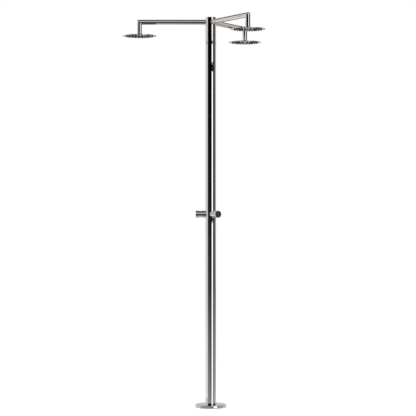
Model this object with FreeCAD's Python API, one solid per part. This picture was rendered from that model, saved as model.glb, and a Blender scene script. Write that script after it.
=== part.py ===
"""Outdoor shower post: one polished tube, three arms with ball-jointed roses, three quarter-turn valves.

Millimetres. The origin is on the floor at the post's axis, +Z is up, and the left arm points along -X.
Every part of an arm or valve is modelled on the +X side and then turned to its station.
"""

import FreeCAD, Part
import math
import os

V = FreeCAD.Vector
UP = V(0, 0, 1)

# ---------------------------------------------------------------- driving dimensions
# stations round the post, evenly spaced, as angles in degrees from +X
station_names = ["left", "front", "rear"]
first_station_angle = 180.0

# clearances
seat_gap = 0.05          # round piece in its round seat
running_gap = 0.05       # turning shaft in its bearing
slide_gap = 0.3          # cover on post
joint_gap = 0.3          # between faces that move past each other

# post
post_height = 2300.0
post_d = 63.5
post_wall = 2.0
cap_t = 3.0

# fixing flange and its cover
flange_d = 150.0
flange_t = 8.0
flange_bore_d = 50.0
anchor_circle_d = 120.0
anchor_hole_d = 9.0
anchor_count = 4
cover_d = 182.0
cover_height = 18.0
cover_wall = 1.5
cover_chamfer = 1.5

# arms
arm_d = 29.0
arm_wall = 1.5
arm_below_top = 28.5     # the arm's axis below the top of the post
arm_reach = 420.0
arm_corner_r = 8.0
arm_inner_end = 23.0     # distance of the arm's inner end from the post's axis

# rose and its ball joint
rose_d = 200.0
ball_below_arm = 62.5    # the ball's centre below the arm's axis
face_below_ball = 20.0   # the rose's underside below the ball's centre
plate_t = 1.5
back_t = 1.5
boss_d = 56.0            # raised middle of the back
boss_height = 3.0
hub_d = 24.0
hub_height = 2.0
ball_d = 20.0
ball_top_flat = 6.0      # height of the ball's flat top above its centre
stem_d = 9.0
water_bore_d = 6.0
lip_drop = 7.0           # nut's lower edge below the ball's centre
nut_height = 20.0
nut_thread_d = 22.0
seat_ring_h = 3.0
seat_ring_z = 5.0        # underside of the seat ring above the ball's centre
nipple_plug_l = 8.0
nipple_bore_d = 10.0

# nozzles: rings round one in the middle
nozzle_rings = 4
nozzles_in_first_ring = 7
nozzle_pitch = 19.25
nozzle_base_d = 7.0
nozzle_tip_d = 4.6
nozzle_l = 3.5
nozzle_sides = 6

# valves
valve_z = 1138.5
valve_hole_d = 19.0      # hole in the post wall
handle_d = 41.0
waist_depth = 1.6        # the knob and its sleeve taper towards the joint line
waist_taper_l = 9.0
handle_split = 61.0      # distance of the joint line from the post's axis
handle_end = 88.5
handle_chamfer = 0.8
sleeve_bore_d = 30.0
body_across_flats = 44.0
body_height = 70.0
cartridge_d = 18.0
cartridge_start = 12.0   # inner end of the cartridge from the post's axis
feed_bore_d = 6.0        # drilled ways into and out of each port of the manifold
lock_nut_across_flats = 24.0
lock_nut_t = 5.0
spindle_d = 6.0
spindle_start = 46.0
spindle_end = 80.0
grub_d = 4.0
grub_at = 77.0
grub_end = 14.0          # outer end of the grub screw from the knob's axis

# water tubes inside the post
supply_d = 10.0
supply_wall = 1.0
supply_at = 16.0         # distance of the upright run from the post's axis
supply_plug_t = 4.0
socket_depth = 8.0
riser_d = 18.0
riser_wall = 1.0
inlet_across_flats = 27.0
inlet_mouth_z = 12.0
inlet_thread_d = 18.6
inlet_thread_l = 14.0
inlet_height = 26.0

# ---------------------------------------------------------------- sizes that follow
stations = {
    name: first_station_angle + 360 * i / len(station_names) for i, name in enumerate(station_names)
}
post_r = post_d / 2
post_bore_r = post_r - post_wall
arm_r = arm_d / 2
arm_bore_r = arm_r - arm_wall
arm_z = post_height - arm_below_top
rose_r = rose_d / 2
ball_r = ball_d / 2
ball_z = arm_z - ball_below_arm
rose_face_z = ball_z - face_below_ball
back_low_z = rose_face_z + plate_t
rim_top_z = back_low_z + back_t
boss_top_z = rim_top_z + boss_height
hub_top_z = boss_top_z + hub_height
nut_low_z = ball_z - lip_drop
nut_top_z = nut_low_z + nut_height
body_low_z = valve_z - body_height / 2
body_top_z = valve_z + body_height / 2


# ---------------------------------------------------------------- shared operations
def outline_face(points):
    """Face in the XZ plane. A point is (x, z), or (x, z, (xm, zm)) where an arc through m leads to it."""
    edges = []
    ends = points + [points[0]]
    for first, last in zip(ends[:-1], ends[1:]):
        start = V(first[0], 0, first[1])
        end = V(last[0], 0, last[1])
        if len(last) == 3:
            middle = V(last[2][0], 0, last[2][1])
            edges.append(Part.Arc(start, middle, end).toShape())
        else:
            edges.append(Part.LineSegment(start, end).toShape())
    return Part.Face(Part.Wire(edges))


def turned(points):
    """Solid of revolution about the Z axis of an outline given as (radius, height)."""
    return outline_face(points).revolve(V(0, 0, 0), UP, 360)


def ring(outer_r, inner_r, low, high):
    """Plain ring or tube about the Z axis."""
    return turned([(inner_r, low), (outer_r, low), (outer_r, high), (inner_r, high)])


def rod(radius, low, high):
    """Round rod about the Z axis."""
    return Part.makeCylinder(radius, high - low, V(0, 0, low))


def hexagon_bar(across_flats, low, high, sides=6):
    """Upright bar with flats, one of them facing +X."""
    corner_r = across_flats / 2 / math.cos(math.pi / sides)
    corners = []
    for i in range(sides):
        angle = 2 * math.pi * (i + 0.5) / sides
        corners.append(V(corner_r * math.cos(angle), corner_r * math.sin(angle), low))
    return Part.Face(Part.makePolygon(corners + corners[:1])).extrude(V(0, 0, high - low))


def laid_out(shape, height=valve_z):
    """Shape built up the Z axis, laid along +X at a height, so that its z becomes distance from the post."""
    placed = shape.copy()
    placed.rotate(V(0, 0, 0), V(0, 1, 0), 90)
    placed.translate(V(0, 0, height))
    return placed


def at_reach(shape):
    """Shape built on the Z axis, moved out to the rose's axis."""
    placed = shape.copy()
    placed.translate(V(arm_reach, 0, 0))
    return placed


def at_station(shape, station):
    """Shape built on the +X side, turned to its station round the post."""
    placed = shape.copy()
    placed.rotate(V(0, 0, 0), UP, stations[station])
    return placed


def at_every_station(shape):
    return Part.makeCompound([at_station(shape, station) for station in stations])


def bent_rod(radius, corner_x, corner_z, end_x, end_z, corner_r):
    """Mitred rod in the XZ plane: level from end_x to corner_x, then down to end_z.

    The outer corner of the mitre is ground to corner_r.
    """
    side = 1 if corner_x > end_x else -1
    margin = 1.0
    outer_x = corner_x + side * radius
    outer_z = corner_z + radius
    far_x = corner_x + side * (radius + margin)
    far_z = corner_z + radius + margin
    near_x = corner_x - side * (radius + margin)
    near_z = corner_z - radius - margin

    def slab(corners):
        wire = Part.makePolygon([V(x, -radius - margin, z) for x, z in corners + corners[:1]])
        return Part.Face(wire).extrude(V(0, 2 * (radius + margin), 0))

    level = Part.makeCylinder(radius, abs(far_x - end_x), V(end_x, 0, corner_z), V(side, 0, 0))
    level = level.common(slab([(end_x, near_z), (near_x, near_z), (far_x, far_z), (end_x, far_z)]))
    upright = Part.makeCylinder(radius, far_z - end_z, V(corner_x, 0, end_z))
    upright = upright.common(slab([(near_x, near_z), (far_x, far_z), (far_x, end_z), (near_x, end_z)]))
    bend = 1 - math.sqrt(0.5)
    rounding = outline_face([
        (end_x, end_z),
        (outer_x, end_z),
        (outer_x, outer_z - corner_r),
        (outer_x - side * corner_r, outer_z, (outer_x - side * corner_r * bend, outer_z - corner_r * bend)),
        (end_x, outer_z),
    ])
    rounding.translate(V(0, -radius - margin, 0))
    return level.fuse(upright).common(rounding.extrude(V(0, 2 * (radius + margin), 0))).removeSplitter()


# ---------------------------------------------------------------- foot
def mounting_flange():
    """Round flange that the post stands on, with anchor holes and a way in for the supply."""
    flange = ring(flange_d / 2, flange_bore_d / 2, 0, flange_t)
    for i in range(anchor_count):
        angle = 2 * math.pi * (i + 0.5) / anchor_count
        hole = rod(anchor_hole_d / 2, -1, flange_t + 1)
        hole.translate(V(math.cos(angle), math.sin(angle), 0) * (anchor_circle_d / 2))
        flange = flange.cut(hole)
    return flange


def base_cover():
    """Pressed round cover, open below, with a hole that slides on the post."""
    cover_r = cover_d / 2
    hole_r = post_r + slide_gap
    return turned([
        (hole_r, cover_height - cover_wall),
        (cover_r - cover_wall, cover_height - cover_wall),
        (cover_r - cover_wall, 0),
        (cover_r, 0),
        (cover_r, cover_height - cover_chamfer),
        (cover_r - cover_chamfer, cover_height),
        (hole_r, cover_height),
    ])


# ---------------------------------------------------------------- post
def post_tube():
    """Tube on the flange, with a hole for each arm and each valve."""
    tube = ring(post_r, post_bore_r, flange_t, post_height)
    for station in stations:
        arm_hole = laid_out(rod(arm_r + seat_gap, 0, post_d), arm_z)
        valve_hole = laid_out(rod(valve_hole_d / 2, 0, post_d))
        tube = tube.cut(at_station(arm_hole.fuse(valve_hole), station))
    return tube


def post_cap():
    return rod(post_bore_r - seat_gap, post_height - cap_t, post_height)


# ---------------------------------------------------------------- arms
def arm():
    """Mitred arm: level out of the post, then down to the rose."""
    outside = bent_rod(arm_r, arm_reach, arm_z, arm_inner_end, nut_top_z, arm_corner_r)
    inside = bent_rod(arm_bore_r, arm_reach, arm_z, arm_inner_end, nut_top_z, arm_corner_r - arm_wall)
    return outside.cut(inside)


def supply_tube():
    """Tube from a valve up to its arm, with the plug that closes the arm's inner end."""
    radius = supply_d / 2
    bore_r = radius - supply_wall
    low_z = body_top_z - socket_depth
    plug_end = arm_inner_end + supply_plug_t
    outside = bent_rod(radius, supply_at, arm_z, plug_end, low_z, radius)
    inside = bent_rod(bore_r, supply_at, arm_z, plug_end, low_z, bore_r)
    plug = laid_out(rod(arm_bore_r - seat_gap, arm_inner_end, plug_end), arm_z)
    return outside.fuse(plug).cut(inside)


# ---------------------------------------------------------------- rose
def rose_back():
    """Flat back with a raised boss; the hub, stem and ball of the swivel are welded to it."""
    boss_r = boss_d / 2
    stem_r = stem_d / 2
    bore_r = water_bore_d / 2
    stem_top = ball_z - math.sqrt(ball_r ** 2 - stem_r ** 2)
    flat_r = math.sqrt(ball_r ** 2 - ball_top_flat ** 2)
    return turned([
        (rose_r, back_low_z),
        (rose_r, rim_top_z),
        (boss_r, rim_top_z),
        (boss_r, boss_top_z),
        (hub_d / 2, boss_top_z),
        (hub_d / 2, hub_top_z),
        (stem_r, hub_top_z),
        (stem_r, stem_top),
        (flat_r, ball_z + ball_top_flat, (ball_r, ball_z)),
        (bore_r, ball_z + ball_top_flat),
        (bore_r, boss_top_z - back_t),
        (boss_r - back_t, boss_top_z - back_t),
        (boss_r - back_t, back_low_z),
    ])


def rose_plate():
    return rod(rose_r, rose_face_z, back_low_z)


def nozzle():
    """One tapered jet with flats, hanging from the face plate."""
    def loop(diameter, height):
        corners = []
        for i in range(nozzle_sides):
            angle = 2 * math.pi * i / nozzle_sides
            corners.append(V(diameter / 2 * math.cos(angle), diameter / 2 * math.sin(angle), height))
        return corners + corners[:1]
    base = loop(nozzle_base_d, rose_face_z)
    tip = loop(nozzle_tip_d, rose_face_z - nozzle_l)
    faces = [Part.Face(Part.makePolygon(base)), Part.Face(Part.makePolygon(tip))]
    for i in range(nozzle_sides):
        flat = [base[i], base[i + 1], tip[i + 1], tip[i], base[i]]
        faces.append(Part.Face(Part.makePolygon(flat)))
    return Part.Solid(Part.Shell(faces))


def rose_nozzles():
    """The field of jets: one in the middle and rings that grow by the same number each."""
    first = nozzle()
    jets = [first]
    for ring_number in range(1, nozzle_rings + 1):
        count = nozzles_in_first_ring * ring_number
        for i in range(count):
            angle = 2 * math.pi * i / count
            jet = first.copy()
            jet.rotate(V(0, 0, 0), UP, math.degrees(angle))
            jet.translate(V(math.cos(angle), math.sin(angle), 0) * (nozzle_pitch * ring_number))
            jets.append(jet)
    return Part.makeCompound(jets)


def swivel_nut():
    """Nut on the arm's end; its conical lip carries the ball."""
    bore_r = ball_r + joint_gap
    lip_sum = (ball_r + joint_gap / 2) * math.sqrt(2)
    thread_r = nut_thread_d / 2
    step_z = ball_z + seat_ring_z - joint_gap
    return turned([
        (lip_sum - lip_drop, nut_low_z),
        (arm_r, nut_low_z),
        (arm_r, nut_top_z),
        (thread_r, nut_top_z),
        (thread_r, step_z),
        (bore_r, step_z),
        (bore_r, ball_z - (lip_sum - bore_r)),
    ])


def drop_nipple():
    """Nipple brazed in the arm's end and screwed in the nut."""
    low_z = ball_z + seat_ring_z + seat_ring_h + joint_gap
    return turned([
        (nipple_bore_d / 2, low_z),
        (nut_thread_d / 2 - seat_gap, low_z),
        (nut_thread_d / 2 - seat_gap, nut_top_z),
        (arm_bore_r - seat_gap, nut_top_z),
        (arm_bore_r - seat_gap, nut_top_z + nipple_plug_l),
        (nipple_bore_d / 2, nut_top_z + nipple_plug_l),
    ])


def seat_ring():
    """Low-friction ring that turns in the nut and steadies the ball."""
    touch_r = math.sqrt(ball_r ** 2 - seat_ring_z ** 2)
    low_z = ball_z + seat_ring_z
    return ring(nut_thread_d / 2 - 2 * running_gap, touch_r + joint_gap, low_z, low_z + seat_ring_h)


# ---------------------------------------------------------------- valves
def handle():
    """Knob turned from bar: tapered towards the joint line, bored for its spindle and its grub screw."""
    radius = handle_d / 2
    bore_r = spindle_d / 2 + seat_gap
    knob = turned([
        (radius - waist_depth, handle_split),
        (radius, handle_split + waist_taper_l),
        (radius, handle_end - handle_chamfer),
        (radius - handle_chamfer, handle_end),
        (0, handle_end),
        (0, spindle_end),
        (bore_r, spindle_end),
        (bore_r, handle_split),
    ])
    screw_hole = Part.makeCylinder(grub_d / 2, radius, V(0, 0, grub_at), V(1, 0, 0))
    return knob.cut(screw_hole)


def grub_screw():
    screw_r = grub_d / 2 - seat_gap
    start = spindle_d / 2 + seat_gap
    return Part.makeCylinder(screw_r, grub_end - start, V(start, 0, grub_at), V(1, 0, 0))


def spindle():
    return rod(spindle_d / 2, spindle_start, spindle_end)


def valve_sleeve():
    """Fixed sleeve that meets the knob's taper, cut to sit on the round post."""
    radius = handle_d / 2
    split = handle_split - joint_gap
    sleeve = turned([
        (sleeve_bore_d / 2, 0),
        (radius, 0),
        (radius, handle_split - waist_taper_l),
        (radius - waist_depth, split),
        (sleeve_bore_d / 2, split),
    ])
    return laid_out(sleeve).cut(rod(post_r, valve_z - handle_d, valve_z + handle_d))


def valve_cartridge():
    """Ceramic quarter-turn cartridge, screwed in the valve body, with a bore for its spindle."""
    radius = cartridge_d / 2
    bore_r = spindle_d / 2 + running_gap
    end = handle_split - joint_gap
    return turned([
        (0, cartridge_start),
        (radius, cartridge_start),
        (radius, end),
        (bore_r, end),
        (bore_r, spindle_start - joint_gap),
        (0, spindle_start - joint_gap),
    ])


def lock_nut():
    """Nut that clamps the post wall between itself and the valve body's cartridge."""
    nut = hexagon_bar(lock_nut_across_flats, post_r, post_r + lock_nut_t)
    return nut.cut(rod(cartridge_d / 2 + seat_gap, post_r - 1, post_r + lock_nut_t + 1))


def valve_body():
    """Brass manifold from hexagon bar: a chamber over the riser, a port for each valve and its outlet."""
    body = hexagon_bar(body_across_flats, body_low_z, body_top_z)
    body = body.cut(rod(riser_d / 2 + seat_gap, body_low_z - 1, body_low_z + socket_depth))
    body = body.cut(rod(riser_d / 2 - riser_wall, body_low_z + socket_depth, valve_z))
    for station in stations:
        port = laid_out(rod(cartridge_d / 2 + seat_gap, cartridge_start, body_across_flats))
        feed = laid_out(rod(feed_bore_d / 2, 0, cartridge_start + 1), valve_z - feed_bore_d)
        outlet = rod(supply_d / 2 + seat_gap, body_top_z - socket_depth, body_top_z + 1)
        outlet = outlet.fuse(rod(feed_bore_d / 2, valve_z, body_top_z - socket_depth))
        outlet.translate(V(supply_at, 0, 0))
        for cut in (port, feed, outlet):
            body = body.cut(at_station(cut, station))
    return body


# ---------------------------------------------------------------- supply
def riser_tube():
    low_z = inlet_mouth_z + inlet_height - socket_depth
    return ring(riser_d / 2, riser_d / 2 - riser_wall, low_z, body_low_z + socket_depth)


def inlet_socket():
    """Hexagon brass socket, threaded inside from below, with the riser brazed in its top."""
    top_z = inlet_mouth_z + inlet_height
    socket = hexagon_bar(inlet_across_flats, inlet_mouth_z, top_z)
    bore = turned([
        (0, inlet_mouth_z - 1),
        (inlet_thread_d / 2, inlet_mouth_z - 1),
        (inlet_thread_d / 2, inlet_mouth_z + inlet_thread_l),
        (riser_d / 2 - riser_wall, inlet_mouth_z + inlet_thread_l),
        (riser_d / 2 - riser_wall, top_z - socket_depth),
        (riser_d / 2 + seat_gap, top_z - socket_depth),
        (riser_d / 2 + seat_gap, top_z + 1),
        (0, top_z + 1),
    ])
    return socket.cut(bore)


# ---------------------------------------------------------------- all pieces
def pieces():
    """Every sub-part by name, in its place."""
    made = {
        "mounting_flange": mounting_flange(),
        "base_cover": base_cover(),
        "post_tube": post_tube(),
        "post_cap": post_cap(),
        "inlet_socket": inlet_socket(),
        "riser_tube": riser_tube(),
        "valve_body": valve_body(),
        "cartridge_lock_nuts": at_every_station(laid_out(lock_nut())),
        "swivel_nuts": at_every_station(at_reach(swivel_nut())),
        "drop_nipples": at_every_station(at_reach(drop_nipple())),
    }
    station_pieces = {
        "arm": arm(),
        "supply_tube": supply_tube(),
        "valve_sleeve": valve_sleeve(),
        "valve_cartridge": laid_out(valve_cartridge()),
        "valve_spindle": laid_out(spindle()),
        "valve_handle": laid_out(handle()),
        "grub_screw": laid_out(grub_screw()),
        "seat_ring": at_reach(seat_ring()),
        "rose_back": at_reach(rose_back()),
        "rose_plate": at_reach(rose_plate()),
        "rose_nozzles": at_reach(rose_nozzles()),
    }
    for name, shape in station_pieces.items():
        for station in stations:
            made[f"{name}_{station}"] = at_station(shape, station)
    return made


os.makedirs("parts", exist_ok=True)
for node, solid in pieces().items():
    solid.exportStep(f"parts/{node}.step")
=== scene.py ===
import math

import bmesh
import bpy
from mathutils import Matrix, Vector


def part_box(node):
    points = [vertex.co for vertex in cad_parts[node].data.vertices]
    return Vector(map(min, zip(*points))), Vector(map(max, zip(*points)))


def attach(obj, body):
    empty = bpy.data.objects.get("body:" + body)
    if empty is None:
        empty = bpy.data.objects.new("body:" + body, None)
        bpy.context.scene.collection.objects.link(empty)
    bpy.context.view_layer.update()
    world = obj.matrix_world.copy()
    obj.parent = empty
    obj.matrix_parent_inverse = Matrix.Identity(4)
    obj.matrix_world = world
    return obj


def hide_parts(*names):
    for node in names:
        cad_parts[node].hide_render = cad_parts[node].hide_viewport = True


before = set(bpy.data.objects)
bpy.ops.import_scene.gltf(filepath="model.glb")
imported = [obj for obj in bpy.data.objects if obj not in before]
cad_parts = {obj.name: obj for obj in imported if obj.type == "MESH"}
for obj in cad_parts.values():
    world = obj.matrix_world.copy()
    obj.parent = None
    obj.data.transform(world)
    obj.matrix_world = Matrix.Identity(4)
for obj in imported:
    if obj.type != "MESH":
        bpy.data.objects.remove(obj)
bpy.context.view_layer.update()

# ---------------------------------------------------------------- post
# Drawn stainless steel tube, ground and polished until it mirrors the room, standing on the flange
# at the foot. A flat disc is welded into its top and polished flush, with a hairline round it.


def linear(hex_colour):
    """Linear colour, with alpha, of an sRGB hex colour."""
    channels = [int(hex_colour[i:i + 2], 16) / 255 for i in (0, 2, 4)]
    return [c / 12.92 if c <= 0.04045 else ((c + 0.055) / 1.055) ** 2.4 for c in channels] + [1]


def add_node(tree, kind, inputs, **settings):
    """Node of a kind with its settings; an input is a value or another node's output socket."""
    node = tree.nodes.new(kind)
    for name, value in settings.items():
        setattr(node, name, value)
    for name, value in inputs.items():
        if isinstance(value, bpy.types.NodeSocket):
            tree.links.new(value, node.inputs[name])
        else:
            node.inputs[name].default_value = value
    return node


def new_material(name):
    """Empty node material and its tree."""
    material = bpy.data.materials.new(name)
    material.use_nodes = True
    material.node_tree.nodes.clear()
    return material, material.node_tree


def worked_metal(name, colour, roughness, spread, line_width, line_depth):
    """Metal with the fine lines of its grinding or turning, and clouds that vary its gloss.

    line_width and line_depth are in millimetres.
    """
    line_stretch = 20     # length of a line, in widths
    cloud_width = 70      # millimetres
    material, tree = new_material(name)
    place = add_node(tree, "ShaderNodeTexCoord", {})
    stretch = add_node(tree, "ShaderNodeMapping",
                       {"Vector": place.outputs["Object"], "Scale": (1, 1, 1 / line_stretch)})
    lines = add_node(tree, "ShaderNodeTexNoise",
                     {"Vector": stretch.outputs["Vector"], "Scale": 1000 / line_width, "Detail": 3})
    clouds = add_node(tree, "ShaderNodeTexNoise",
                      {"Vector": place.outputs["Object"], "Scale": 1000 / cloud_width, "Detail": 4})
    gloss = add_node(tree, "ShaderNodeMapRange",
                     {"Value": clouds.outputs["Fac"], "From Min": 0.3, "From Max": 0.7,
                      "To Min": roughness - spread, "To Max": roughness + spread})
    bump = add_node(tree, "ShaderNodeBump",
                    {"Height": lines.outputs["Fac"], "Distance": line_depth / 1000, "Strength": 1})
    metal = add_node(tree, "ShaderNodeBsdfPrincipled",
                     {"Base Color": linear(colour), "Metallic": 1, "Roughness": gloss.outputs["Result"],
                      "Normal": bump.outputs["Normal"]})
    add_node(tree, "ShaderNodeOutputMaterial", {"Surface": metal.outputs["BSDF"]})
    return material


def rounded(corners, steps=6):
    """Outline of (radius, height) points. A corner with a third number is rounded to that radius."""
    outline = []
    for i, corner in enumerate(corners):
        point = Vector(corner[:2])
        if len(corner) == 2:
            outline.append(point)
            continue
        before = (Vector(corners[i - 1][:2]) - point).normalized()
        after = (Vector(corners[(i + 1) % len(corners)][:2]) - point).normalized()
        half_angle = before.angle(after) / 2
        reach = corner[2] / math.tan(half_angle)
        centre = point + (before + after).normalized() * (corner[2] / math.sin(half_angle))
        start = point + before * reach - centre
        end = point + after * reach - centre
        for k in range(steps + 1):
            outline.append(centre + start.lerp(end, k / steps).normalized() * corner[2])
    return outline


def turned(shape, outline, around=128, centre=(0, 0)):
    """Adds a closed outline of (radius, height) points, turned about an upright axis, to a bmesh."""
    rings = []
    for radius, height in outline:
        spots = around if radius else 1
        ring = []
        for i in range(spots):
            angle = 2 * math.pi * i / around
            ring.append(shape.verts.new((centre[0] + radius * math.cos(angle),
                                         centre[1] + radius * math.sin(angle), height)))
        rings.append(ring)
    for low, high in zip(rings, rings[1:] + rings[:1]):
        if len(low) == len(high) == 1:
            continue
        for i in range(around):
            j = (i + 1) % around
            corners = [low[i % len(low)], low[j % len(low)], high[j % len(high)], high[i % len(high)]]
            shape.faces.new(list(dict.fromkeys(corners)))


def piece(name, shape, material, slot, body, *nodes, turn=None):
    """Object of a bmesh, smooth but for its real edges, that rides on a body and replaces CAD nodes."""
    real_edge = math.radians(32)
    if turn:
        shape.transform(turn)
    bmesh.ops.recalc_face_normals(shape, faces=shape.faces)
    mesh = bpy.data.meshes.new(name)
    shape.to_mesh(mesh)
    shape.free()
    mesh.polygons.foreach_set("use_smooth", [True] * len(mesh.polygons))
    mesh.set_sharp_from_angle(angle=real_edge)
    mesh.materials.append(material)
    made = bpy.data.objects.new(name, mesh)
    bpy.context.scene.collection.objects.link(made)
    even = made.modifiers.new("flat faces stay flat", "WEIGHTED_NORMAL")
    even.keep_sharp = True
    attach(made, body)
    if nodes:
        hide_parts(*nodes)
    return made


# Stainless steel, belt ground along the tube and buffed: a warm grey mirror, whose last lines, drawn
# 0.4 mm wide because the real ones are too fine to show, only just soften what it reflects.
polished_steel = worked_metal("buffed stainless steel", "CDC6C2", 0.02, 0.008, 0.4, 0.00002)
post_low, post_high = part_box("post_tube")
cap_low, cap_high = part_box("post_cap")
post_r = post_high.x
post_bore_r = cap_high.x + 0.00005    # a hairline wider than the cap
tube_edge = 0.0004

post = bmesh.new()
turned(post, rounded([
    (post_r, post_low.z),
    (post_r, post_high.z, tube_edge),
    (post_bore_r, post_high.z, tube_edge / 2),
    (post_bore_r, post_low.z),
]), around=256)
piece("post", post, polished_steel, "polished_stainless", "post", "post_tube")

cap = bmesh.new()
turned(cap, rounded([
    (0, cap_low.z),
    (cap_high.x, cap_low.z),
    (cap_high.x, cap_high.z, tube_edge / 2),
    (0, cap_high.z),
]))
piece("cap", cap, polished_steel, "polished_stainless", "post", "post_cap")

# ---------------------------------------------------------------- foot
# The fixing flange is laser-cut stainless plate with a milled face. Its cover is pressed and polished
# sheet with a soft edge; it lies loose over the flange and slides up the post to reach the anchors.
cover_low, cover_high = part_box("base_cover")
cover_r = cover_high.x
cover_edge = 0.0022
cover_wall = 0.0015
slide_gap = 0.0003
cover_hole_r = post_r + slide_gap

cover = bmesh.new()
turned(cover, rounded([
    (cover_r, cover_low.z),
    (cover_r, cover_high.z, cover_edge),
    (cover_hole_r, cover_high.z, tube_edge),
    (cover_hole_r, cover_high.z - cover_wall),
    (cover_r - cover_wall, cover_high.z - cover_wall, cover_edge - cover_wall),
    (cover_r - cover_wall, cover_low.z),
]), around=256)
piece("cover", cover, polished_steel, "polished_stainless", "base_cover", "base_cover")


def dress(material, slot, *nodes):
    """Gives CAD nodes that stay as they are their material."""
    for name in nodes:
        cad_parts[name].data.materials.clear()
        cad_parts[name].data.materials.append(material)


# Stainless plate, milled: satin, with broad pale tool lines.
milled_steel = worked_metal("milled stainless plate", "B9B7B4", 0.28, 0.05, 0.8, 0.004)
dress(milled_steel, "plain_stainless", "mounting_flange")

# Brass, turned from bar: yellow and half bright, with close tool rings.
turned_brass = worked_metal("turned brass", "C9A86A", 0.22, 0.06, 0.3, 0.003)
dress(turned_brass, "brass", "inlet_socket")

# ---------------------------------------------------------------- arms
# Polished stainless tube, sawn at 45 degrees, welded at the corner and ground round on the outside.
# Each arm goes through the wall of the post, where a thin weld bead is polished flush.
arm_low, arm_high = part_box("arm_left")    # it lies along -X; each arm is made along +X and turned
arm_r = arm_high.y
arm_wall = 0.0015
arm_z = arm_high.z - arm_r
arm_reach = -arm_low.x - arm_r
arm_facets = 96
corner_r = 0.008
corner_steps = 8
bead_r = 0.0009
bead_facets = 10
stations = {}
for station in ("left", "front", "rear"):
    low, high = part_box(f"rose_plate_{station}")
    middle = (low + high) / 2
    stations[station] = Matrix.Rotation(math.atan2(middle.y, middle.x), 4, "Z")


def arm_ring(shape, radius, path):
    """Ring round the arm; path gives a point's x and z from its angle from the top."""
    ring = []
    for i in range(arm_facets):
        angle = 2 * math.pi * i / arm_facets
        x, z = path(angle, radius * math.cos(angle))
        ring.append(shape.verts.new((x, radius * math.sin(angle), z)))
    return ring


def arm_skin(shape, radius):
    """Rings from the arm's inner end, round the mitred corner, down to its lower end."""
    rings = [arm_ring(shape, radius, lambda angle, rise: (-arm_high.x, arm_z + rise))]
    for k in range(corner_steps + 1):
        def corner(angle, rise, bend=math.pi / 2 * k / corner_steps):
            rounding = corner_r * (1 + math.cos(angle)) / 2
            x = arm_reach + rise - rounding * (1 - math.sin(bend))
            return x, arm_z + rise - rounding * (1 - math.cos(bend))
        rings.append(arm_ring(shape, radius, corner))
    rings.append(arm_ring(shape, radius, lambda angle, rise: (arm_reach + rise, arm_low.z)))
    return rings


for station, turn in stations.items():
    arm = bmesh.new()
    rings = arm_skin(arm, arm_r) + arm_skin(arm, arm_r - arm_wall)[::-1]
    for low, high in zip(rings, rings[1:] + rings[:1]):
        for i in range(arm_facets):
            arm.faces.new([low[i], low[i - 1], high[i - 1], high[i]])
    # The corner's rings meet at its inside, which isn't rounded.
    bmesh.ops.remove_doubles(arm, verts=arm.verts, dist=1e-6)
    piece(f"arm_tube_{station}", arm, polished_steel, "polished_stainless", "post",
          f"arm_{station}", turn=turn)

    bead = bmesh.new()
    loops = []
    for i in range(arm_facets):
        angle = 2 * math.pi * i / arm_facets
        side, rise = arm_r * math.sin(angle), arm_r * math.cos(angle)
        root = Vector((math.sqrt(post_r ** 2 - side ** 2), side, arm_z + rise))
        outward = Vector((0, math.sin(angle), math.cos(angle)))
        loop = []
        for k in range(bead_facets):
            round_bead = 2 * math.pi * k / bead_facets
            along = Vector((bead_r * math.cos(round_bead), 0, 0))
            loop.append(bead.verts.new(root + along + outward * (bead_r * math.sin(round_bead))))
        loops.append(loop)
    for i in range(arm_facets):
        for k in range(bead_facets):
            bead.faces.new([loops[i - 1][k - 1], loops[i][k - 1], loops[i][k], loops[i - 1][k]])
    piece(f"weld_bead_{station}", bead, polished_steel, "polished_stainless", "post", turn=turn)

# ---------------------------------------------------------------- swivels
# A turned stainless nut carries each rose by its ball; the nut is as wide as the arm and meets it at
# a fine V-shaped line. Inside are a brass nipple and a ring of low-friction plastic.
nut_low, nut_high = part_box("swivel_nuts")
ball_r = 0.010
joint_gap = 0.0003
lip_drop = 0.007    # the nut's lower edge below the ball's centre
lip_edge = 0.0004
nut_edge = 0.0012
nut_thread_r = 0.011
joint_line = 0.0005
ball_z = nut_low.z + lip_drop
nut_step_z = ball_z + 0.0047    # just under the seat ring
nut_bore_r = ball_r + joint_gap
# On the conical lip, radius and depth below the ball's centre add up to this.
lip_sum = (ball_r + joint_gap / 2) * math.sqrt(2)

for station, turn in stations.items():
    nut = bmesh.new()
    turned(nut, rounded([
        (lip_sum - lip_drop, nut_low.z, lip_edge),
        (arm_r, nut_low.z, nut_edge),
        (arm_r, nut_high.z, joint_line),
        (nut_thread_r, nut_high.z),
        (nut_thread_r, nut_step_z),
        (nut_bore_r, nut_step_z),
        (nut_bore_r, ball_z - (lip_sum - nut_bore_r)),
    ]), around=arm_facets)
    piece(f"swivel_nut_{station}", nut, polished_steel, "polished_stainless", "post", "swivel_nuts",
          turn=turn @ Matrix.Translation((arm_reach, 0, 0)))


def moulded(name, colour, cloud_colour, roughness, ior):
    """Moulded rubber or plastic, of two close shades in soft clouds."""
    cloud_width = 2.5    # millimetres
    material, tree = new_material(name)
    place = add_node(tree, "ShaderNodeTexCoord", {})
    clouds = add_node(tree, "ShaderNodeTexNoise",
                      {"Vector": place.outputs["Object"], "Scale": 1000 / cloud_width, "Detail": 4})
    shade = add_node(tree, "ShaderNodeMix",
                     {"Factor": clouds.outputs["Fac"], "A": linear(colour), "B": linear(cloud_colour)},
                     data_type="RGBA")
    skin = add_node(tree, "ShaderNodeBsdfPrincipled",
                    {"Base Color": shade.outputs["Result"], "Roughness": roughness, "IOR": ior})
    add_node(tree, "ShaderNodeOutputMaterial", {"Surface": skin.outputs["BSDF"]})
    return material


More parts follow.
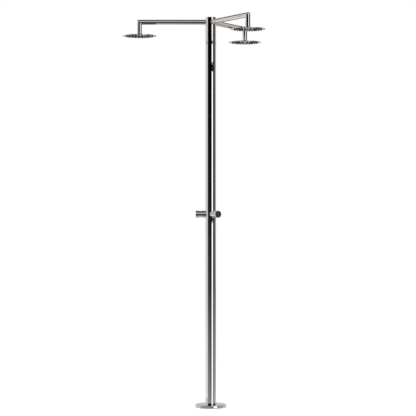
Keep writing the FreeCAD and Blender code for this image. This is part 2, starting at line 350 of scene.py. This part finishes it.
# Acetal, moulded as rings: milk white and waxy.
white_acetal = moulded("moulded white acetal", "E3E1D9", "D9D6CC", 0.38, 1.48)
dress(white_acetal, "seat_plastic", *[f"seat_ring_{station}" for station in stations])
dress(turned_brass, "brass", "drop_nipples")

# ---------------------------------------------------------------- roses
# Two thin discs of polished stainless sheet, welded at the rim: the back with its raised boss, hub and
# ball, and the face, with soft silicone jets pushed through it that shed lime at a rub.
plate_low, plate_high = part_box("rose_plate_left")
jets_low, jets_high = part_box("rose_nozzles_left")
rose_r = plate_high.y
back_t = 0.0015
back_top = plate_high.z + back_t
rim_edge = 0.0006
seam = 0.0002
boss_r = 0.028
boss_top = back_top + 0.003
boss_foot_edge = 0.0008
boss_edge = 0.001
hub_r = 0.012
hub_top = boss_top + 0.002
hub_edge = 0.0005
stem_r = 0.0045
stem_foot_edge = 0.0004
water_bore_r = 0.003
ball_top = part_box("rose_back_left")[1].z
ball_steps = 16

jet_pitch = 0.0155
jets_in_first_ring = 5
jet_rings = 5
jet_heading = math.radians(52.5)    # the same for all three roses, whichever way their arms point
jet_base_r = 0.0032
jet_tip_r = 0.0022
jet_bore_r = 0.0009
jet_end = jets_low.z - 0.0015       # the jets are this much longer than the CAD model's
jet_tip_edge = 0.0005
collar_end = jets_high.z - 0.0006
collar_edge = 0.0003
collar_step = 0.0005
jet_start = jets_high.z - 0.0008
jet_bore_end = jets_high.z - 0.001

# Silicone rubber, moulded: near black and soft, with a broad weak gloss and a trace of dust.
dark_silicone = moulded("moulded silicone rubber", "171514", "211E1C", 0.55, 1.41)

ball_arc = []
ball_start = math.asin(-math.sqrt(ball_r ** 2 - stem_r ** 2) / ball_r)
ball_end = math.asin((ball_top - ball_z) / ball_r)
for k in range(ball_steps + 1):
    rise = ball_start + (ball_end - ball_start) * k / ball_steps
    ball_arc.append((ball_r * math.cos(rise), ball_z + ball_r * math.sin(rise)))

for station, turn in stations.items():
    rose_place = turn @ Matrix.Translation((arm_reach, 0, 0))
    back = bmesh.new()
    turned(back, rounded([
        (rose_r, plate_high.z, seam),
        (rose_r, back_top, rim_edge),
        (boss_r, back_top, boss_foot_edge),
        (boss_r, boss_top, boss_edge),
        (hub_r, boss_top, hub_edge),
        (hub_r, hub_top, hub_edge),
        (stem_r, hub_top, stem_foot_edge),
        *ball_arc,
        (water_bore_r, ball_top),
        (water_bore_r, boss_top - back_t),
        (boss_r - back_t, boss_top - back_t),
        (boss_r - back_t, plate_high.z),
    ]), around=192)
    piece(f"rose_shell_{station}", back, polished_steel, "polished_stainless", f"rose_{station}",
          f"rose_back_{station}", turn=rose_place)

    plate = bmesh.new()
    turned(plate, rounded([
        (0, plate_low.z),
        (rose_r, plate_low.z, rim_edge),
        (rose_r, plate_high.z, seam),
        (0, plate_high.z),
    ]), around=192)
    piece(f"rose_face_{station}", plate, polished_steel, "polished_stainless", f"rose_{station}",
          f"rose_plate_{station}", turn=rose_place)

    jets = bmesh.new()
    places = [(0, 0)]
    for ring in range(1, jet_rings + 1):
        for i in range(jets_in_first_ring * ring):
            angle = jet_heading + 2 * math.pi * i / (jets_in_first_ring * ring)
            places.append((jet_pitch * ring * math.cos(angle), jet_pitch * ring * math.sin(angle)))
    for spot in places:
        turned(jets, rounded([
            (jet_base_r, jets_high.z),
            (jet_base_r, collar_end, collar_edge),
            (jet_base_r - collar_step, jet_start),
            (jet_tip_r, jet_end, jet_tip_edge),
            (jet_bore_r, jet_end),
            (jet_bore_r, jet_bore_end),
            (0, jet_bore_end),
            (0, jets_high.z),
        ], steps=2), around=16, centre=spot)
    piece(f"rose_jets_{station}", jets, dark_silicone, "nozzle_rubber", f"rose_{station}",
          f"rose_nozzles_{station}", turn=Matrix.Translation(rose_place.translation))

# ---------------------------------------------------------------- valves
# Each valve shows as a turned stainless sleeve, cut to sit on the round post, and a knob as wide. Both
# narrow to a waist where they meet. A grub screw under the knob clamps it on the brass spindle.
knob_low, knob_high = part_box("valve_handle_left")
grub_low, grub_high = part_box("grub_screw_left")
knob_r = knob_high.y
valve_z = (knob_low.z + knob_high.z) / 2
knob_start, knob_end = -knob_high.x, -knob_low.x
knob_edge = 0.00015
knob_face_t = 0.007
sleeve_end = -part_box("valve_sleeve_left")[0].x
sleeve_bore_r = 0.015
valve_gap = knob_start - sleeve_end
waist_depth = 0.001
waist_l = 0.0105
waist_steps = 10
spindle_r = 0.003
grub_at = -(grub_low.x + grub_high.x) / 2
grub_hole_r = grub_high.y + 0.00005
# Both are made upright, where height is the distance from the post's axis, and then laid out.
laid_out = Matrix.Translation((0, 0, valve_z)) @ Matrix.Rotation(math.pi / 2, 4, "Y")


def waist(from_waist):
    """Hollow arc down to the waist; from_waist is 1 on the knob's side and -1 on the sleeve's."""
    bow_r = (waist_l ** 2 + waist_depth ** 2) / (2 * waist_depth)
    points = []
    for k in range(waist_steps + 1):
        along = waist_l * (1 - k / waist_steps)
        dip = waist_depth - (bow_r - math.sqrt(bow_r ** 2 - along ** 2))
        points.append((knob_r - dip, knob_start + from_waist * along))
    return points


def drilled(blank, drill):
    """Blank with the drill's shape cut out of it."""
    pair = []
    for name, shape in (("blank", blank), ("drill", drill)):
        bmesh.ops.recalc_face_normals(shape, faces=shape.faces)
        mesh = bpy.data.meshes.new(name)
        shape.to_mesh(mesh)
        shape.free()
        pair.append(bpy.data.objects.new(name, mesh))
        bpy.context.scene.collection.objects.link(pair[-1])
    cut = pair[0].modifiers.new("drilled", "BOOLEAN")
    cut.operation = "DIFFERENCE"
    cut.object = pair[1]
    result = bmesh.new()
    result.from_object(pair[0], bpy.context.evaluated_depsgraph_get())
    for made in pair:
        bpy.data.meshes.remove(made.data)    # its object goes with it
    return result


for station, turn in stations.items():
    knob = bmesh.new()
    turned(knob, rounded([
        *waist(1)[::-1],
        (knob_r, knob_end, knob_edge),
        (0, knob_end),
        (0, knob_end - knob_face_t),
        (spindle_r, knob_end - knob_face_t),
        (spindle_r, knob_start),
    ]))
    drill_start, drill_end = spindle_r / 2, knob_r + 0.001
    drill = bmesh.new()
    turned(drill, [(0, drill_start), (grub_hole_r, drill_start), (grub_hole_r, drill_end), (0, drill_end)],
           around=32)
    # The small turn about its own axis keeps the drill's corners off the knob's.
    drill.transform(Matrix.Translation((0, 0, grub_at)) @ Matrix.Rotation(math.pi / 2, 4, "Y")
                    @ Matrix.Rotation(0.05, 4, "Z"))
    piece(f"knob_{station}", drilled(knob, drill), polished_steel, "polished_stainless", f"knob_{station}",
          f"valve_handle_{station}", turn=turn @ laid_out)

    sleeve = bmesh.new()
    turned(sleeve, [
        (sleeve_bore_r, 0),
        (knob_r, 0),
        *[(radius, height - valve_gap) for radius, height in waist(-1)],
        (sleeve_bore_r, sleeve_end),
    ])
    for vert in sleeve.verts:
        if vert.co.z == 0:
            vert.co.z = math.sqrt(post_r ** 2 - vert.co.y ** 2)
    piece(f"sleeve_{station}", sleeve, polished_steel, "polished_stainless", "post",
          f"valve_sleeve_{station}", turn=turn @ laid_out)

    dress(turned_brass, "brass", f"valve_cartridge_{station}", f"valve_spindle_{station}")

# Black oxide steel: the screw comes out of its bath dark grey and dull.
black_oxide = worked_metal("black oxide steel", "2B2A2C", 0.35, 0.05, 0.3, 0.002)
dress(black_oxide, "black_steel", *[f"grub_screw_{station}" for station in stations])

# Stainless tube as drawn: a plain satin skin with lines along it.
drawn_steel = worked_metal("drawn stainless tube", "B4B2AE", 0.3, 0.05, 0.5, 0.003)
dress(drawn_steel, "plain_stainless", "riser_tube", *[f"supply_tube_{station}" for station in stations])
dress(turned_brass, "brass", "valve_body", "cartridge_lock_nuts")

# ---------------------------------------------------------------- studio
# A pale floor and an even white room. Far off round the post, out of the picture, stand glowing cards
# that light nothing and that only reflections see, with glowing mats before them: painted reflections
# of dark, grey and bright bands for the polished steel to mirror.
room_r = 14
wall_top = 6.0
card_rows = 16
card_fade = 1.1                      # height over which an upright card's glow at its foot fades
widest_step = 6                      # degrees
mat_z = 0.002
mat_start = cover_r + 0.001
cool_card = (0.93, 1.0, 1.05)        # warm steel mirrors this as plain grey
plain_card = (1, 1, 1)


def light_card(name, strengths):
    """Glowing card that lights nothing and that only a mirror sees, a painted reflection; its brightness is
    read from the corners of its faces.
    """
    material, tree = new_material(name)
    shade = add_node(tree, "ShaderNodeAttribute", {}, attribute_name=strengths)
    glow = add_node(tree, "ShaderNodeEmission", {"Color": shade.outputs["Color"], "Strength": 1})
    add_node(tree, "ShaderNodeOutputMaterial", {"Surface": glow.outputs["Emission"]})
    return material


painted_reflection_glow = light_card("painted reflection glow", "brightness")


def toward(azimuth, distance, height):
    """Point of the studio; azimuth is in degrees from the camera's side, to its right."""
    angle = math.radians(azimuth)
    return (distance * math.sin(angle), -distance * math.cos(angle), height)


def card(name, rows, tint=cool_card):
    """Sheet through rows of (point, brightness), seen only by reflections."""
    mesh = bpy.data.meshes.new(name)
    wide = len(rows[0])
    faces = [(r * wide + c, r * wide + c + 1, (r + 1) * wide + c + 1, (r + 1) * wide + c)
             for r in range(len(rows) - 1) for c in range(wide - 1)]
    mesh.from_pydata([point for row in rows for point, brightness in row], [], faces)
    shade = mesh.color_attributes.new("brightness", "FLOAT_COLOR", "POINT")
    for i, brightness in enumerate(brightness for row in rows for point, brightness in row):
        shade.data[i].color = (*(brightness * channel for channel in tint), 1)
    mesh.materials.append(painted_reflection_glow)
    made = bpy.data.objects.new(name, mesh)
    bpy.context.scene.collection.objects.link(made)
    made.visible_camera = False
    made.visible_diffuse = False
    made.visible_shadow = False
    made.visible_transmission = False
    made.visible_volume_scatter = False


def filled(columns):
    """Columns of a card with more put between them, at most widest_step apart."""
    close = []
    for left, right in zip(columns, columns[1:]):
        steps = math.ceil((right[0] - left[0]) / widest_step)
        close += [[a + (b - a) * i / steps for a, b in zip(left, right)] for i in range(steps)]
    return [*close, columns[-1]]


def painted_floor_band(name, columns, reach=room_r, height=mat_z, tint=cool_card):
    """Glowing band on the floor that only reflections see, a painted reflection; a column is its azimuth,
    brightness at the foot and at the far end, and curve.

    Its sides bend in toward the base cover, so that the cover's round rim mirrors them upright.
    """
    rows = []
    for k in range(card_rows + 1):
        share = k / card_rows
        distance = mat_start * (reach / mat_start) ** share
        bend = 1 - mat_start / (2 * distance)
        rows.append([(toward(azimuth * bend, distance, height), near + (far - near) * share ** curve)
                     for azimuth, near, far, curve in filled(columns)])
    card(name, rows, tint)


def painted_upright_band(name, columns, tint=cool_card):
    """Glowing card at the end of the room that only reflections see, a painted reflection; a column is its
    azimuth and its brightness at the foot and top.
    """
    rows = []
    for k in range(card_rows + 1):
        height = wall_top * (k / card_rows) ** 2
        fade = math.exp(-height / card_fade)
        rows.append([(toward(azimuth, room_r, height), top + (foot - top) * fade)
                     for azimuth, foot, top in filled(columns)])
    card(name, rows, tint)


# Painted highlight: one tall glowing panel, no lamp, lighting nothing, that only reflections see,
# with two dark bars before it, and the same glow on the floor.
strip_left, strip_middle, strip_right = 21.4, 35, 48.5
strip_r = 11
strip_brightness = 1.9
# The dark bars are painted breaks in the painted highlight, seen only in reflections.
highlight_breaks = ((0.994, 1.11), (2.906, 3.021))
highlight_break_r = strip_r - 0.1
highlight_break_brightness = 0.01
highlight_break_end = 1                     # degrees past the panel's side
card("painted_strip_highlight", [[(toward(azimuth, strip_r, height), strip_brightness)
                      for azimuth in (strip_left, strip_middle, strip_right)]
                     for height in (0, wall_top)])
for low, high in highlight_breaks:
    card(f"highlight_break_{round(low * 1000)}", [
        [(toward(azimuth, highlight_break_r, height), highlight_break_brightness)
         for azimuth in (strip_left - highlight_break_end, strip_middle, strip_right + highlight_break_end)]
        for height in (low, high)])
painted_floor_band("painted_strip_highlight_floor", [(strip_left, strip_brightness, strip_brightness, 1),
                        (strip_right, strip_brightness, strip_brightness, 1)],
          reach=strip_r, height=2 * mat_z)

# Painted reflection of a dark band, darker away from the foot; its right part is hidden by the painted
# highlight, which stands just before it.
painted_floor_band("painted_dark_floor_band", [(-66, 0.45, 0.12, 2.2), (-23, 0.43, 0.07, 1.9), (-4, 0.38, 0.03, 1.1),
                        (strip_right, 0.38, 0.03, 1.1)])
painted_upright_band("painted_dark_band", [(-66, 0.12, 0), (-47, 0.12, 0), (-4, 0.03, 0), (strip_right, 0.03, 0)])

# Painted reflections: to the right a dark band, and behind the post a grey one. On the left, painted
# shade lies by the foot as a short band, and the white room shows above it.
painted_floor_band("painted_right_floor_band", [(strip_right, 0.5, 0.08, 1.5), (106, 0.6, 0.2, 1.5)])
painted_upright_band("painted_right_band", [(strip_right, 0.08, 0.02), (62, 0.11, 0.05), (106, 0.15, 0.11)])
painted_floor_band("painted_grey_floor_band", [(106, 0.8, 0.4, 2), (150, 0.9, 0.4, 2), (200, 0.5, 0.4, 2)], tint=plain_card)
painted_upright_band("painted_grey_band", [(106, 0.5, 0.72), (165, 0.5, 0.72), (180, 0.42, 0.72), (200, 0.55, 0.72)],
             tint=plain_card)
# Painted shade: a short band that only reflections see, darker next to the cover and white half a metre off.
painted_floor_band("painted_foot_shade", [(-180, 0.6, 1, 1), (-127, 0.9, 1, 1), (-88, 0.9, 1, 1), (-82, 0.48, 0.9, 1),
                       (-66, 0.48, 0.8, 1)], reach=0.5, tint=plain_card)

# A dark sheet overhead and behind, which only reflections see, paints the dark upper line on the level
# tubes: a painted reflection.
overhead_z = 12.5
overhead_side = 16
overhead_near, overhead_far = -9.9, 26
overhead_brightness = 0.14
card("painted_overhead_dark_band", [[((x, y, overhead_z), overhead_brightness) for x in (-overhead_side, overhead_side)]
                       for y in (overhead_near, overhead_far)])


def floor_paint(name, colour, lift):
    """Matt white paint; lift brings it to white for the camera and leaves the shadow on it."""
    material, tree = new_material(name)
    rays = add_node(tree, "ShaderNodeLightPath", {})
    matt = add_node(tree, "ShaderNodeBsdfDiffuse", {"Color": linear(colour)})
    shown = add_node(tree, "ShaderNodeMath",
                     {0: rays.outputs["Is Camera Ray"], 1: rays.outputs["Is Glossy Ray"]},
                     operation="MAXIMUM")
    bright = add_node(tree, "ShaderNodeMath", {0: shown.outputs["Value"], 1: lift}, operation="MULTIPLY")
    glow = add_node(tree, "ShaderNodeEmission", {"Color": (1, 1, 1, 1), "Strength": bright.outputs["Value"]})
    both = add_node(tree, "ShaderNodeAddShader", {0: matt.outputs["BSDF"], 1: glow.outputs["Emission"]})
    add_node(tree, "ShaderNodeOutputMaterial", {"Surface": both.outputs["Shader"]})
    return material


floor_r = 60
floor_top, floor_underside = -0.0005, -0.02
floor_shape = bmesh.new()
turned(floor_shape, [(floor_r, floor_top), (0, floor_top), (0, floor_underside), (floor_r, floor_underside)],
       around=64)
floor_mesh = bpy.data.meshes.new("floor")
bmesh.ops.recalc_face_normals(floor_shape, faces=floor_shape.faces)
floor_shape.to_mesh(floor_mesh)
floor_shape.free()
floor_mesh.materials.append(floor_paint("matt white floor paint", "EDEDED", 0.35))
floor = bpy.data.objects.new("floor", floor_mesh)
bpy.context.scene.collection.objects.link(floor)

# The room is white to the camera and in reflections, and lights matt surfaces a little less.
room_light = 0.8
room = bpy.data.worlds.new("white room")
room.use_nodes = True
room.node_tree.nodes.clear()
rays = add_node(room.node_tree, "ShaderNodeLightPath", {})
mirrored = add_node(room.node_tree, "ShaderNodeMath",
                    {0: rays.outputs["Is Camera Ray"], 1: rays.outputs["Is Glossy Ray"]},
                    operation="MAXIMUM")
shown = add_node(room.node_tree, "ShaderNodeMath",
                 {0: mirrored.outputs["Value"], 1: rays.outputs["Is Transmission Ray"]},
                 operation="MAXIMUM")
level = add_node(room.node_tree, "ShaderNodeMapRange",
                 {"Value": shown.outputs["Value"], "To Min": room_light, "To Max": 1})
sky = add_node(room.node_tree, "ShaderNodeBackground",
               {"Color": (1, 1, 1, 1), "Strength": level.outputs["Result"]})
add_node(room.node_tree, "ShaderNodeOutputWorld", {"Surface": sky.outputs["Background"]})
bpy.context.scene.world = room

# A large soft light, high up before the post and to its left, lights the matt surfaces and gives the
# floor its faint shadow.
key_side = 3
key_power = 160
key_place = Vector((-3.5, -4.5, 5.5))
key_aim = Vector((0, 0, 0.9))
key = bpy.data.lights.new("soft key", "AREA")
key.shape = "RECTANGLE"
key.size, key.size_y = key_side, key_side
key.energy = key_power
key_light = bpy.data.objects.new("soft_key", key)
key_light.location = key_place
key_light.rotation_euler = (key_aim - key_place).to_track_quat("-Z", "Y").to_euler()
key_light.visible_glossy = False
bpy.context.scene.collection.objects.link(key_light)

# ---------------------------------------------------------------- camera
# Level, at chest height and far off, so that the post's sides stay upright in the picture. Its place
# and its lens are those at which the post, the roses and the foot come where they are in the photo.
photo_px = 416
focal_px = 1590
camera_distance = 9.384
camera_height = 1.175
camera_side = -0.016

lens = bpy.data.cameras.new("camera")
lens.sensor_width = 36
lens.lens = lens.sensor_width * focal_px / photo_px
lens.clip_end = 200
camera = bpy.data.objects.new("camera", lens)
camera.location = (camera_side, -camera_distance, camera_height)
camera.rotation_euler = (math.pi / 2, 0, 0)
bpy.context.scene.collection.objects.link(camera)
bpy.context.scene.camera = camera
bpy.context.scene.view_settings.view_transform = "Standard"
